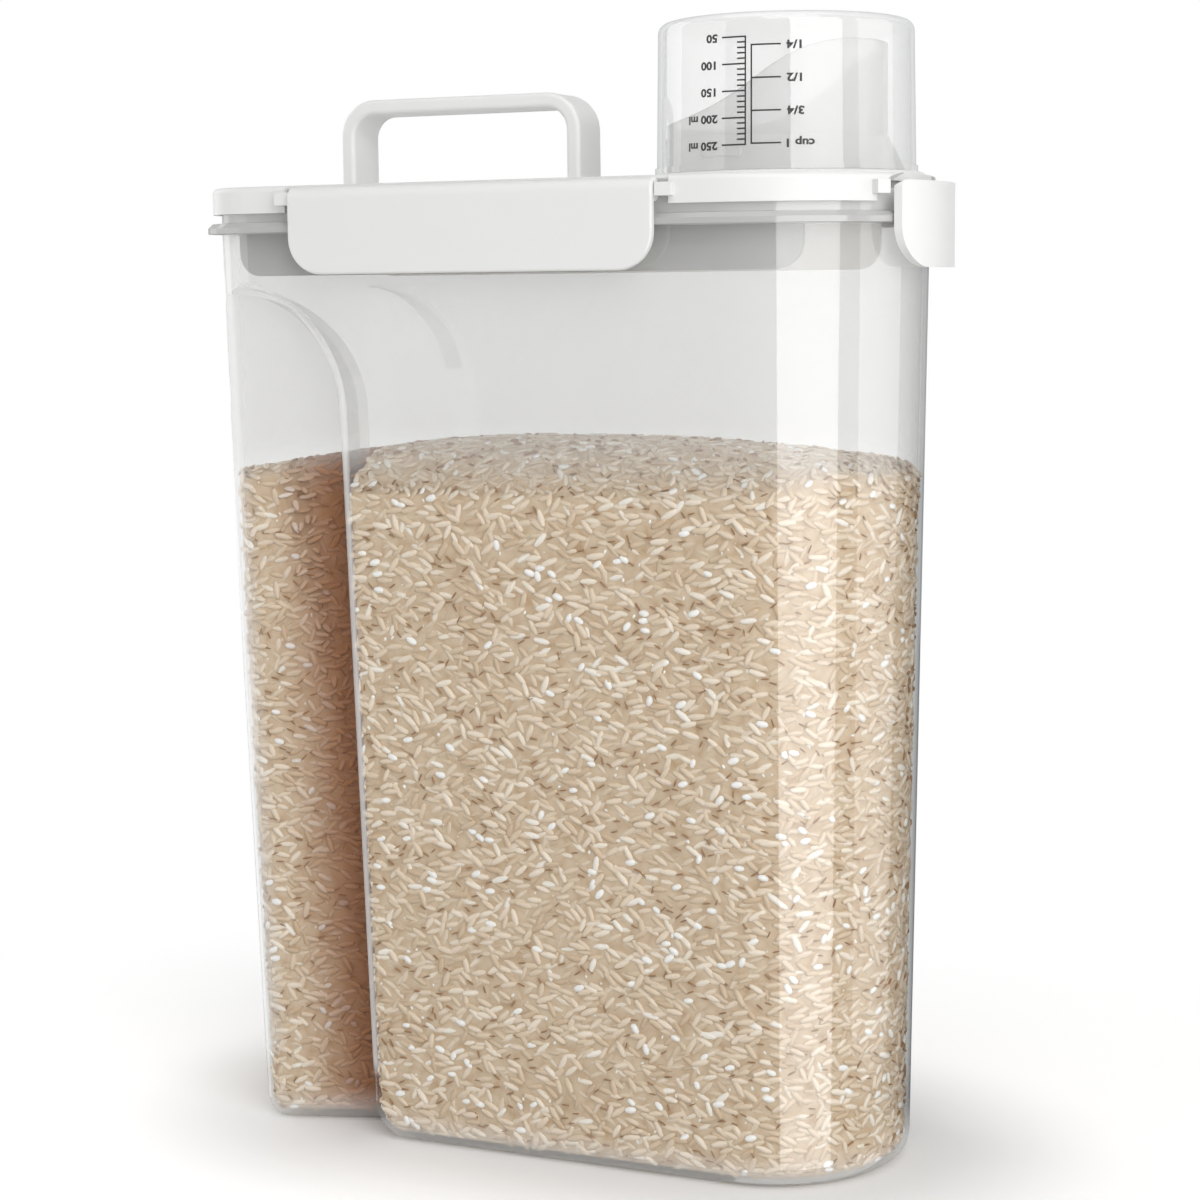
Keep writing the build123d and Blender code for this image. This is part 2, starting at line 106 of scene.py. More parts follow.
class Value:
    """A node's output that can stand in a Python expression."""

    def __init__(self, graph: "Graph", socket: bpy.types.NodeSocket) -> None:
        """Keeps the socket and the graph that it belongs to."""
        self.graph = graph
        self.socket = socket

    def maths(self, operation: str, *terms: "Value | float") -> "Value":
        """Adds one Math node.

        Args:
            operation: The Math node's operation.
            terms: The values or numbers that it takes, in order.

        Returns:
            The node's result.
        """
        node = self.graph.add("ShaderNodeMath", {"operation": operation}, dict(enumerate(terms)))
        return Value(self.graph, node.outputs[0])

    def __add__(self, other: "Value | float") -> "Value":
        """This value plus another."""
        return self.maths("ADD", self, other)

    def __radd__(self, other: float) -> "Value":
        """A number plus this value."""
        return self.maths("ADD", other, self)

    def __sub__(self, other: "Value | float") -> "Value":
        """This value less another."""
        return self.maths("SUBTRACT", self, other)

    def __rsub__(self, other: float) -> "Value":
        """A number less this value."""
        return self.maths("SUBTRACT", other, self)

    def __mul__(self, other: "Value | float") -> "Value":
        """This value times another."""
        return self.maths("MULTIPLY", self, other)

    def __rmul__(self, other: float) -> "Value":
        """A number times this value."""
        return self.maths("MULTIPLY", other, self)

    def __truediv__(self, other: "Value | float") -> "Value":
        """This value over another."""
        return self.maths("DIVIDE", self, other)

    def __rtruediv__(self, other: float) -> "Value":
        """A number over this value."""
        return self.maths("DIVIDE", other, self)

    def __pow__(self, other: "Value | float") -> "Value":
        """This value to a power."""
        return self.maths("POWER", self, other)

    def __rpow__(self, other: float) -> "Value":
        """A number to this value's power."""
        return self.maths("POWER", other, self)

    def __gt__(self, other: "Value | float") -> "Value":
        """One where this value is the larger, and zero elsewhere."""
        return self.maths("GREATER_THAN", self, other)

    def __lt__(self, other: "Value | float") -> "Value":
        """One where this value is the smaller, and zero elsewhere."""
        return self.maths("LESS_THAN", self, other)

    def floor(self) -> "Value":
        """This value rounded down."""
        return self.maths("FLOOR", self)

    def modulo(self, other: "Value | float") -> "Value":
        """What is left of this value after whole steps."""
        return self.maths("MODULO", self, other)

    def sine(self) -> "Value":
        """Sine of this value, in radians."""
        return self.maths("SINE", self)

    def cosine(self) -> "Value":
        """Cosine of this value, in radians."""
        return self.maths("COSINE", self)

    def size(self) -> "Value":
        """This value without its sign."""
        return self.maths("ABSOLUTE", self)

    def least(self, other: "Value | float") -> "Value":
        """The smaller of this value and another."""
        return self.maths("MINIMUM", self, other)

    def most(self, other: "Value | float") -> "Value":
        """The larger of this value and another."""
        return self.maths("MAXIMUM", self, other)


class Graph:
    """A node tree with one way to add nodes."""

    def __init__(self, tree: bpy.types.NodeTree) -> None:
        """Starts from an emptied tree."""
        self.tree = tree
        tree.nodes.clear()

    def add(self, kind: str, settings: dict | None = None, inputs: dict | None = None) -> bpy.types.Node:
        """Adds a node.

        Args:
            kind: The node's type.
            settings: Its own settings, set first; stops are a ramp's places and colours.
            inputs: Values or links of its sockets, by name or number.

        Returns:
            The new node.
        """
        node = self.tree.nodes.new(kind)
        for name, setting in (settings or {}).items():
            if name == "stops":
                self.fill_ramp(node.color_ramp, setting)
            else:
                setattr(node, name, setting)
        for name, given in (inputs or {}).items():
            if isinstance(given, Value):
                given = given.socket
            if isinstance(given, bpy.types.NodeSocket):
                self.tree.links.new(given, node.inputs[name])
            else:
                node.inputs[name].default_value = given
        return node

    @staticmethod
    def fill_ramp(ramp: bpy.types.ColorRamp, stops: list[tuple[float, Colour]]) -> None:
        """Sets a ramp's stops.

        Args:
            ramp: The ramp of a Color Ramp node.
            stops: Places from 0 to 1, each with its colour.
        """
        while len(ramp.elements) < len(stops):
            ramp.elements.new(1.0)
        for element, (place, colour) in zip(ramp.elements, stops):
            element.position = place
            element.color = (*colour, 1.0)

    def value(self, kind: str, output: str | int, settings: dict | None = None,
              inputs: dict | None = None) -> Value:
        """Adds a node and gives one of its outputs.

        Args:
            kind: The node's type.
            output: The output's name or number.
            settings: As for add.
            inputs: As for add.

        Returns:
            The output, ready for an expression.
        """
        return Value(self, self.add(kind, settings, inputs).outputs[output])

    def parts(self, vector: Value) -> list[Value]:
        """The three numbers of a vector."""
        node = self.add("ShaderNodeSeparateXYZ", None, {0: vector})
        return [Value(self, output) for output in node.outputs]

    def vector(self, *numbers: Value | float) -> Value:
        """A vector made of up to three numbers."""
        return self.value("ShaderNodeCombineXYZ", 0, None, dict(enumerate(numbers)))

    def vectors(self, operation: str, *terms: Value | tuple | float) -> Value:
        """Adds one Vector Math node.

        Args:
            operation: The node's operation.
            terms: Vectors in order; SCALE takes a vector and a number.

        Returns:
            The resulting vector.
        """
        inputs = dict(enumerate(terms))
        if operation == "SCALE":
            inputs = {0: terms[0], "Scale": terms[1]}
        return self.value("ShaderNodeVectorMath", 0, {"operation": operation}, inputs)


class ShaderGraph(Graph):
    """A material's node tree."""

    def __init__(self, name: str) -> None:
        """Makes the material.

        Args:
            name: The material's name.
        """
        self.material = bpy.data.materials.new(name)
        self.material.use_nodes = True
        super().__init__(self.material.node_tree)

    def place(self) -> Value:
        """Object coordinates."""
        return self.value("ShaderNodeTexCoord", "Object")

    def noise(self, scale: float, detail: float = 2.0) -> Value:
        """Noise over the object, from 0 to 1.

        Args:
            scale: Waves in each metre.
            detail: Finer layers.

        Returns:
            The noise's value.
        """
        return self.value("ShaderNodeTexNoise", 0, {"noise_dimensions": "3D"},
                          {"Vector": self.place(), "Scale": scale, "Detail": detail})

    def bump(self, height: Value, strength: float, distance: float) -> Value:
        """A bumped normal.

        Args:
            height: Height over the surface.
            strength: Share of the effect.
            distance: Depth of a full wave, in metres.

        Returns:
            The normal.
        """
        return self.value("ShaderNodeBump", "Normal", None,
                          {"Height": height, "Strength": strength, "Distance": distance})

    def blend(self, share: Value | float, low: Value | Colour, high: Value | Colour) -> Value:
        """A colour between two, each given or worked out.

        Args:
            share: Zero for the first colour and one for the second.
            low: The first colour.
            high: The second colour.

        Returns:
            The mixed colour.
        """
        first, second = ((*c, 1.0) if isinstance(c, tuple) else c for c in (low, high))
        return self.value("ShaderNodeMix", 2, {"data_type": "RGBA"}, {0: share, 6: first, 7: second})

    def ramp(self, given: Value, low: float, high: float, least: float = 0.0) -> Value:
        """A soft step.

        Args:
            given: The value that is looked at.
            low: Where the step starts.
            high: Where it reaches one.
            least: What it starts from.

        Returns:
            The step, up to 1.
        """
        return self.value("ShaderNodeMapRange", 0, {"interpolation_type": "SMOOTHSTEP"},
                          {"Value": given, "From Min": low, "From Max": high, "To Min": least})

    def facing(self) -> Value:
        """Zero where the surface faces the eye, and one at its edges."""
        return self.value("ShaderNodeLayerWeight", "Facing")

    def gloss_share(self, straight: float, edge: float) -> Value:
        """How much of the light a clear skin mirrors, alike from both sides.

        Args:
            straight: The share where the skin faces the eye.
            edge: The share at the skin's edges.

        Returns:
            The share at the surface.
        """
        return straight + (edge - straight) * self.facing() ** GLOSS_POWER

    def mix(self, share: Value | float, first: Value, second: Value) -> Value:
        """Two shaders mixed."""
        return self.value("ShaderNodeMixShader", 0, None, {0: share, 1: first, 2: second})

    def finish(self, shader: Value) -> bpy.types.Material:
        """Sends a shader to the surface and gives the material."""
        self.add("ShaderNodeOutputMaterial", None, {"Surface": shader})
        return self.material


# Finishes


@dataclass(frozen=True)
class ClearPlastic:
    """Clear moulded plastic: a see-through wall with a faint haze and a glossy outer skin. Its edges are
    tinted dark as a painted refraction of the dark room, and white haze on its tail corners is a painted
    highlight.

    The wall's outside is told from its inside by a middle line, which runs along X at half height.
    """

    name: str
    line_from: float
    line_to: float
    line_z: float
    tint: Colour
    # The edge tint stands for the dark room seen through the curved wall: a painted refraction.
    edge_tint: Colour
    edge_power: float
    edge_from: float
    edge_to: float
    haze: float
    film: float = 0.0
    film_from: float = 0.0
    film_to: float = 1.0
    frost: float = 0.0
    frost_from: float = 1.0
    frost_blend: float = 0.6 * MM
    neck_from: float = 1.0
    # The band and the tail's soft zone lay a painted highlight of white haze on the tail corners and rounds.
    band: float = 0.0
    painted_highlight_low: float = 22.0 * MM
    painted_highlight_high: float = 30.0 * MM
    tail_soft: float = 0.0
    tail_line: float = -118.2 * MM
    tail_lean: float = 0.0175
    soft_from: float = 4.0 * MM
    soft_to: float = 14.0 * MM
    edge_low: float = 4.0 * MM
    edge_high: float = 24.0 * MM
    foot_haze: float = 0.0
    foot_low: float = 3.0 * MM
    foot_high: float = 15.0 * MM
    haze_colour: Colour = (0.9, 0.9, 0.89)
    frost_colour: Colour = (0.58, 0.58, 0.57)
    # The neck's near white is a painted light.
    neck_painted_light: Colour = (0.92, 0.92, 0.91)
    skin_share: float = 0.06
    edge_share: float = 0.25
    inner_share: float = 0.01
    skin_roughness: float = 0.05
    cloud_roughness: float = 0.5
    wave_scale: float = 14.0
    wave_strength: float = 0.12
    wave_depth: float = 0.6 * MM
    haze_swing: float = 0.24
    edge_least: float = 0.25
    foot_least: float = 0.3
    turn_from: float = 0.1
    turn_to: float = 0.4
    side_from: float = 0.1
    side_to: float = 0.35

    def sides(self, g: ShaderGraph) -> tuple[Value, Value]:
        """Tells the wall's sides apart.

        Args:
            g: The material's graph.

        Returns:
            One on the wall's outside seen from outside, and the share of a painted highlight on its tail
            corners and rounds and beside the tail line.
        """
        looks = g.add("ShaderNodeNewGeometry")
        behind, normal = (Value(g, looks.outputs[name]) for name in ("Backfacing", "Normal"))
        turn_x, turn_y, turn_z = g.parts(normal)
        x, y, z = g.parts(g.place())
        near = g.value("ShaderNodeClamp", 0, None, {"Value": x, "Min": self.line_from, "Max": self.line_to})
        out = turn_x * (x - near) + turn_y * y + turn_z * (z - self.line_z)
        outside = (out > 0.0) * (1.0 - behind)
        turned = g.ramp(-1.0 * turn_x.least(turn_z), self.turn_from, self.turn_to)
        sideways = g.ramp(turn_y.size(), self.side_from, self.side_to)
        from_tail = x + self.tail_lean * z - self.tail_line
        soft = self.tail_soft * (1.0 - g.ramp(from_tail, self.soft_from, self.soft_to))
        return outside, outside * soft.most(turned) * sideways

    def cloud(self, g: ShaderGraph, height: Value, frosted: Value) -> Value:
        """The dull stuff of the haze and of the frosted neck, which is painted near white above the flange: a
        painted light.

        Args:
            g: The material's graph.
            height: Height over the floor.
            frosted: One on the neck.

        Returns:
            Its shader.
        """
        # Above the flange the frost turns near white: a painted light against the shade under the lid's
        # skirt.
        neck = g.ramp(height, self.neck_from - self.frost_blend, self.neck_from)
        frost = g.blend(neck, self.frost_colour, self.neck_painted_light)
        return g.value("ShaderNodeBsdfPrincipled", 0, None, {
            "Base Color": g.blend(frosted, self.haze_colour, frost),
            "Roughness": self.cloud_roughness,
            "Specular IOR Level": 0.0,
        })

    def material(self) -> bpy.types.Material:
        """Builds the material.

        Returns:
            The material.
        """
        g = ShaderGraph(self.name)
        wave = g.noise(self.wave_scale)
        outside, pale = self.sides(g)
        along, _, height = g.parts(g.place())
        # The edges turn to the edge tint, more towards the nose and less at the foot: a painted refraction of
        # the dark room.
        face, edge = (g.value("ShaderNodeBsdfTransparent", 0, None, {"Color": (*tint, 1.0)})
                      for tint in (self.tint, self.edge_tint))
        to_nose = g.ramp(along, self.edge_from, self.edge_to, self.edge_least)
        off_floor = g.ramp(height, self.edge_low, self.edge_high, self.foot_least)
        clear = g.mix(outside * g.facing() ** self.edge_power * to_nose * off_floor, face, edge)
        frosted = g.ramp(height, self.frost_from - self.frost_blend, self.frost_from)
        film = self.film * g.ramp(height, self.film_from, self.film_to)
        haze = (self.haze + film) * (1.0 + self.haze_swing * (wave - 0.5))
        # White haze on the tail corners and rounds and beside the tail line: a painted highlight.
        band = self.band * pale * g.ramp(height, self.painted_highlight_low, self.painted_highlight_high) * (1.0 - frosted)
        foot = self.foot_haze * outside * (1.0 - g.ramp(height, self.foot_low, self.foot_high))
        share = haze + self.frost * frosted + band + foot
        hazed = g.mix(share, clear, self.cloud(g, height, frosted))
        skin = g.value("ShaderNodeBsdfGlossy", 0, None, {
            "Color": (1.0, 1.0, 1.0, 1.0),
            "Roughness": self.skin_roughness,
            "Normal": g.bump(wave, self.wave_strength, self.wave_depth),
        })
        mirrored = g.gloss_share(self.skin_share, self.edge_share) - self.inner_share
        return g.finish(g.mix(self.inner_share + outside * mirrored, hazed, skin))


@dataclass(frozen=True)
class SatinPlastic:
    """Opaque moulded plastic with a satin skin. Below a height the plates take other tones: a grey painted
    shade on the front plates and a near white painted light on the rear ones.
    """

    name: str
    colour: Colour
    shade: Colour
    roughness: float
    painted_shade_colour: Colour = (0.4, 0.4, 0.385)
    painted_light_colour: Colour = (0.97, 0.97, 0.965)
    low_from: float = -1.0
    low_blend: float = 1.0 * MM
    broad_scale: float = 22.0
    roughness_swing: float = 0.1
    grain_scale: float = 1400.0
    grain_strength: float = 0.25
    grain_depth: float = 0.04 * MM

    def material(self) -> bpy.types.Material:
        """Builds the material.

        Returns:
            The material.
        """
        g = ShaderGraph(self.name)
        broad = g.noise(self.broad_scale)
        fine = g.noise(self.grain_scale, 1.0)
        _, across, height = g.parts(g.place())
        # Below the given height the plates are painted: a painted shade on the front ones, a painted light on
        # the rear ones.
        lower = 1.0 - g.ramp(height, self.low_from - self.low_blend, self.low_from)
        plates = g.blend(across < 0.0, self.painted_light_colour, self.painted_shade_colour)
        return g.finish(g.value("ShaderNodeBsdfPrincipled", 0, None, {
            "Base Color": g.blend(lower, g.blend(broad, self.colour, self.shade), plates),
            "Roughness": self.roughness + self.roughness_swing * (broad - 0.5),
            "Normal": g.bump(fine, self.grain_strength, self.grain_depth),
        }))


@dataclass(frozen=True)
class MilkyPlastic:
    """Half clear moulded plastic."""

    name: str
    colour: Colour
    body_share: float
    roughness: float
    clear_tint: Colour = (0.97, 0.97, 0.97)
    broad_scale: float = 30.0
    roughness_swing: float = 0.08
    share_swing: float = 0.1
    edge_power: float = 3.0
    bump_strength: float = 0.1
    bump_depth: float = 0.4 * MM

    def material(self) -> bpy.types.Material:
        """Builds the material.

        Returns:
            The material.
        """
        g = ShaderGraph(self.name)
        broad = g.noise(self.broad_scale)
        clear = g.value("ShaderNodeBsdfTransparent", 0, None, {"Color": (*self.clear_tint, 1.0)})
        milk = g.value("ShaderNodeBsdfPrincipled", 0, None, {
            "Base Color": (*self.colour, 1.0),
            "Roughness": self.roughness + self.roughness_swing * (broad - 0.5),
            "Normal": g.bump(broad, self.bump_strength, self.bump_depth),
        })
        share = self.body_share + (1.0 - self.body_share) * g.facing() ** self.edge_power
        return g.finish(g.mix(share * (1.0 + self.share_swing * (broad - 0.5)), clear, milk))


@dataclass(frozen=True)
class TailShade:
    """The brown shade of the rice beside the step, where little light comes in."""

    colour: Colour = (0.34, 0.11, 0.015)
    strength: float = 0.95
    line_x: float = -66.5 * MM
    lean_share: float = 0.021
    reach: float = 40.0 * MM
    dark: float = 10.0 * MM

    def over(self, g: ShaderGraph, colour: Value) -> Value:
        """Lays the shade over a colour.

        Args:
            g: The material's graph.
            colour: The colour without it.

        Returns:
            The shaded colour.
        """
        x, _, z = g.parts(g.place())
        behind = x + self.lean_share * z - self.line_x
        share = g.ramp(behind, -self.reach, -self.dark) * (behind < 0.0) * self.strength
        return g.blend(share, colour, self.colour)


@dataclass(frozen=True)
class RiceGrains:
    """Polished rice, with a tone for each grain that its own map carries."""

    name: str = "rice_grain"
    tones: int = 24
    # The lowest stop is the dark brown of the slivers, a painted shade; the top stop is the white of the pale
    # grains, partly chalky grains and partly a painted glint.
    stops: tuple[tuple[float, Colour], ...] = (
        (0.045, (0.36, 0.2, 0.085)),
        (0.06, (0.64, 0.48, 0.32)),
        (0.35, (0.76, 0.62, 0.46)),
        (0.7, (0.84, 0.71, 0.56)),
        (0.9, (0.93, 0.84, 0.71)),
        (0.93, (0.98, 0.97, 0.94)),
    )
    tip_painted_shade: Colour = (0.66, 0.48, 0.3)
    tip_share: float = 0.5
    tip_power: float = 5.0
    pale_from: float = 0.92
    roughness: float = 0.28
    roughness_swing: float = 0.1
    tail: TailShade = TailShade()

    def material(self) -> bpy.types.Material:
        """Builds the material.

        Returns:
            The material.
        """
        g = ShaderGraph(self.name)
        across, along, _ = g.parts(g.value("ShaderNodeUVMap", 0, {"uv_map": GRAIN_MAP}))
        tone = (across * self.tones).floor() / (self.tones - 1)
        ramp = g.value("ShaderNodeValToRGB", 0, {"stops": list(self.stops)}, {0: tone})
        # Towards each grain's ends the colour turns a darker brown: a painted shade.
        end = (along - 0.5).size() * 2.0
        tip = self.tip_share * end ** self.tip_power * (tone < self.pale_from)
        return g.finish(g.value("ShaderNodeBsdfPrincipled", 0, None, {
            "Base Color": self.tail.over(g, g.blend(tip, ramp, self.tip_painted_shade)),
            "Roughness": self.roughness + self.roughness_swing * tone,
        }))


@dataclass(frozen=True)
class RiceBulk:
    """The mass of rice between and behind the grains, its cell edges painted darker: a painted shade between
    grains.
    """

    name: str = "rice_bulk"
    colour: Colour = (0.74, 0.59, 0.42)
    shade: Colour = (0.56, 0.38, 0.22)
    cell_scale: float = 260.0
    cell_power: float = 2.0
    roughness: float = 0.6
    roughness_swing: float = 0.2
    bump_strength: float = 0.5
    bump_depth: float = 0.6 * MM
    tail: TailShade = TailShade()

    def material(self) -> bpy.types.Material:
        """Builds the material.

        Returns:
            The material.
        """
        g = ShaderGraph(self.name)
        cells = g.value("ShaderNodeTexVoronoi", "Distance", {"feature": "F1"},
                        {"Vector": g.place(), "Scale": self.cell_scale})
        # Darker towards the cell edges: a painted shade between grains.
        mass = g.blend(cells ** self.cell_power, self.colour, self.shade)
        return g.finish(g.value("ShaderNodeBsdfPrincipled", 0, None, {
            "Base Color": self.tail.over(g, mass),
            "Roughness": self.roughness + self.roughness_swing * cells,
            "Normal": g.bump(1.0 - cells, self.bump_strength, self.bump_depth),
        }))


@dataclass(frozen=True)
class Ink:
    """Dark printing ink."""

    name: str = "print_ink"
    colour: Colour = (0.022, 0.02, 0.02)
    shade: Colour = (0.045, 0.042, 0.042)
    speck_scale: float = 4000.0
    roughness: float = 0.45
    roughness_swing: float = 0.1

    def material(self) -> bpy.types.Material:
        """Builds the material.

        Returns:
            The material.
        """
        g = ShaderGraph(self.name)
        speck = g.noise(self.speck_scale)
        return g.finish(g.value("ShaderNodeBsdfPrincipled", 0, None, {
            "Base Color": g.blend(speck, self.colour, self.shade),
            "Roughness": self.roughness + self.roughness_swing * speck,
        }))


# Geometry helpers


class GeometryGraph(Graph):
    """A Geometry Nodes tree with named inputs."""

    KINDS = {
        float: "NodeSocketFloat",
        int: "NodeSocketInt",
        bpy.types.Material: "NodeSocketMaterial",
    }

    def __init__(self, name: str, inputs: dict[str, type]) -> None:
        """Makes the tree.

        Args:
            name: The tree's name.
            inputs: Each input's name with its kind.
        """
        super().__init__(bpy.data.node_groups.new(name, "GeometryNodeTree"))
        self.tree.is_modifier = True
        sockets = self.tree.interface
        sockets.new_socket("Geometry", in_out="INPUT", socket_type="NodeSocketGeometry")
        self.identifiers = {}
        for label, kind in inputs.items():
            made = sockets.new_socket(label, in_out="INPUT", socket_type=self.KINDS[kind])
            self.identifiers[label] = made.identifier
        sockets.new_socket("Geometry", in_out="OUTPUT", socket_type="NodeSocketGeometry")
        self.entry = self.add("NodeGroupInput")

    def given(self, label: str) -> Value:
        """One of the tree's inputs."""
        return Value(self, self.entry.outputs[label])

    def store(self, geometry: Value, label: str, kind: str, domain: str, stored: Value) -> Value:
        """Geometry with an attribute stored on it.

        Args:
            geometry: The geometry to write on.
            label: The attribute's name.
            kind: Its data type.
            domain: What carries it.
            stored: Its values.

        Returns:
            The geometry with the attribute.
        """
        return self.value("GeometryNodeStoreNamedAttribute", 0, {"data_type": kind, "domain": domain},
                          {"Geometry": geometry, "Name": label, "Value": stored})

    def stored(self, label: str, kind: str) -> Value:
        """An attribute that was stored earlier."""
        return self.value("GeometryNodeInputNamedAttribute", 0, {"data_type": kind}, {"Name": label})

    def random(self, low: float, high: float, draw: Draw) -> Value:
        """A random number for each point, the same on every run."""
        return self.value("FunctionNodeRandomValue", 1, {"data_type": "FLOAT"},
                          {2: low, 3: high, "Seed": draw.value})

    def end(self, real: Value, finish: Value) -> None:
        """Gives realised geometry its finish and ends the tree."""
        dressed = self.value("GeometryNodeSetMaterial", 0, None, {"Geometry": real, "Material": finish})
        self.add("NodeGroupOutput", None, {0: dressed})

    def grow(self, name: str, mesh: bpy.types.Mesh, values: dict) -> bpy.types.Object:
        """Runs the tree on a mesh.

        Args:
            name: Name of the new piece.
            mesh: The mesh that goes in.
            values: The value of each named input.

        Returns:
            A plain mesh object with the result.
        """
        carrier = bpy.data.objects.new(name + "_carrier", mesh)
        bpy.context.scene.collection.objects.link(carrier)
        modifier = carrier.modifiers.new("grow", "NODES")
        modifier.node_group = self.tree
        for label, given in values.items():
            modifier[self.identifiers[label]] = given
        depsgraph = bpy.context.evaluated_depsgraph_get()
        made = bpy.data.meshes.new_from_object(
            carrier.evaluated_get(depsgraph), preserve_all_data_layers=True, depsgraph=depsgraph)
        carrier.modifiers.clear()
        bpy.data.objects.remove(carrier)
        return place_mesh(name, made)


def place_mesh(name: str, mesh: bpy.types.Mesh) -> bpy.types.Object:
    """Puts a finished mesh in the scene, at the origin.

    Args:
        name: The piece's name.
        mesh: Its mesh, already in its place.

    Returns:
        The object.
    """
    mesh.name = name
    piece = bpy.data.objects.new(name, mesh)
    bpy.context.scene.collection.objects.link(piece)
    return piece


def dress(node: str, material: bpy.types.Material) -> None:
    """Gives a solid of the frame its finish.

    Args:
        node: The solid's name.
        material: The finish's material.
    """
    solid = frame["nodes"][node]
    if not solid.material_slots:
        solid.data.materials.append(material)
    for slot in solid.material_slots:
        slot.material = material
    LOG.info("dressed %s in %s", node, material.name)


# Sub-assemblies


@dataclass
class RiceFill:
    """Loose rice: a core with painted shade along its cell edges, and grains lying against the wall and over
    the top; some grains are dark slivers of painted shade, and the white ones are partly chalky grains and
    partly a painted glint.
    """

    node: str = "rice_fill"
    grain_length: float = 7.0 * MM
    grain_width: float = 2.55 * MM
    grain_thick: float = 1.5 * MM
    grain_bend: float = 0.2
    grain_sides: int = 6
    grain_rings: int = 4
    weld: float = 0.01 * MM
    spacing: float = 2.3 * MM
    density: float = 420000.0
    lie_depth: float = -0.2 * MM
    sink: float = 0.7 * MM
    core_depth: float = -0.05 * MM
    wander: float = 0.9
    tilt: float = 0.12
    # Shares of standing grains, of pale grains that are partly a painted glint, and of dark slivers that are
    # a painted shade between grains.
    stand_share: float = 0.045
    pale_share: float = 0.04
    shade_sliver_share: float = 0.13
    foot_high: float = 14.0 * MM
    foot_drop: float = 0.5 * MM
    corner_most: float = 1.5
    base_turn: float = -0.7
    stand_lift: float = 1.6
    stand_stray: float = 0.9
    tone_low: float = 0.1
    tone_span: float = 0.8
    pale_tone: float = 0.98
    size_low: float = 0.84
    size_high: float = 1.1
    shade_sliver_thin: float = 0.76
    shade_sliver_short: float = 0.55
    pale_short: float = 0.42
    map_edge: float = 0.08
    tone_slack: float = 0.001
    seed: int = 7
    bands: int = 6
    grains: RiceGrains = field(default_factory=RiceGrains)
    bulk: RiceBulk = field(default_factory=RiceBulk)

    def moved_in(self, depth: float, open_base: bool) -> bpy.types.Mesh:
        """The rice's outer surface, moved into or out of the mass.

        The clear wall bends the light, so that the rice looks nearer to its outside than it is. The grains
        stand a little way into the wall for this, and the foot goes a little lower.

        Args:
            depth: How far it moves inward.
            open_base: Whether the face on the floor is left out.

        Returns:
            The new mesh.
        """
        low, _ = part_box(self.node)
        work = bmesh.new()
        work.from_mesh(frame["nodes"][self.node].data)
        bmesh.ops.remove_doubles(work, verts=work.verts, dist=self.weld)
        work.normal_update()
        for vertex in work.verts:
            corner = vertex.calc_shell_factor()
            foot = max(0.0, 1.0 - (vertex.co.z - low.z) / self.foot_high)
            vertex.co -= vertex.normal * depth * min(corner, self.corner_most)
            vertex.co.z -= self.foot_drop * foot
        if open_base:
            base = [face for face in work.faces if face.normal.z < self.base_turn]
            bmesh.ops.delete(work, geom=base, context="FACES")
        mesh = bpy.data.meshes.new(self.node + "_surface")
        work.to_mesh(mesh)
        work.free()
        return mesh

    def grain_shape(self, g: GeometryGraph) -> Value:
        """One grain, lying along Z, with the map that carries its tone.

        Args:
            g: The tree that it is made in.

        Returns:
            The grain's geometry.
        """
        ball = g.add("GeometryNodeMeshUVSphere", None,
                     {"Segments": self.grain_sides, "Rings": self.grain_rings, "Radius": 1.0})
        mapped = g.store(Value(g, ball.outputs["Mesh"]), GRAIN_MAP, "FLOAT2", "CORNER",
                         Value(g, ball.outputs["UV Map"]))
        _, _, along = g.parts(g.value("GeometryNodeInputPosition", 0))
        bent = g.value("GeometryNodeSetPosition", 0, None,
                       {"Geometry": mapped, "Offset": g.vector(g.given("Bend") * along * along, 0.0, 0.0)})
        size = g.vector(g.given("Thick") * 0.5, g.given("Width") * 0.5, g.given("Length") * 0.5)
        sized = g.value("GeometryNodeTransform", 0, None, {"Geometry": bent, "Scale": size})
        return g.value("GeometryNodeSetShadeSmooth", 0, None, {0: sized})

    def tree(self) -> GeometryGraph:
        """The tree that lays the grains on a surface.

        Returns:
            The tree.
        """
        g = GeometryGraph("lay_rice", {
            "Spacing": float, "Density": float, "Length": float, "Width": float, "Thick": float,
            "Bend": float, "Sink": float, "Wander": float, "Tilt": float, "Stand": float, "Pale": float,
            "ShadeSlivers": float, "Low": float, "High": float, "Seed": int, "Finish": bpy.types.Material,
        })
        spread = g.add("GeometryNodeDistributePointsOnFaces", {"distribute_method": "POISSON"}, {
            "Mesh": g.given("Geometry"), "Distance Min": g.given("Spacing"),
            "Density Max": g.given("Density"), "Seed": g.given("Seed"),
        })
        normal = Value(g, spread.outputs["Normal"])
        _, _, height = g.parts(g.value("GeometryNodeInputPosition", 0))
        inside = (height > g.given("Low")) * (height < g.given("High"))
        kept = g.value("GeometryNodeSeparateGeometry", 0, {"domain": "POINT"},
                       {"Geometry": Value(g, spread.outputs["Points"]), "Selection": inside})
        stray = g.vector(*(g.random(-1.0, 1.0, draw) for draw in (Draw.STRAY_X, Draw.STRAY_Y, Draw.STRAY_Z)))
        across = g.vectors("ADD", (0.0, 0.0, 1.0), g.vectors("SCALE", stray, g.given("Wander")))
        flat = g.vectors("NORMALIZE", g.vectors("CROSS_PRODUCT", normal, across))
        lift = g.random(-1.0, 1.0, Draw.LIFT) * g.given("Tilt")
        lot = g.random(0.0, 1.0, Draw.LOT)
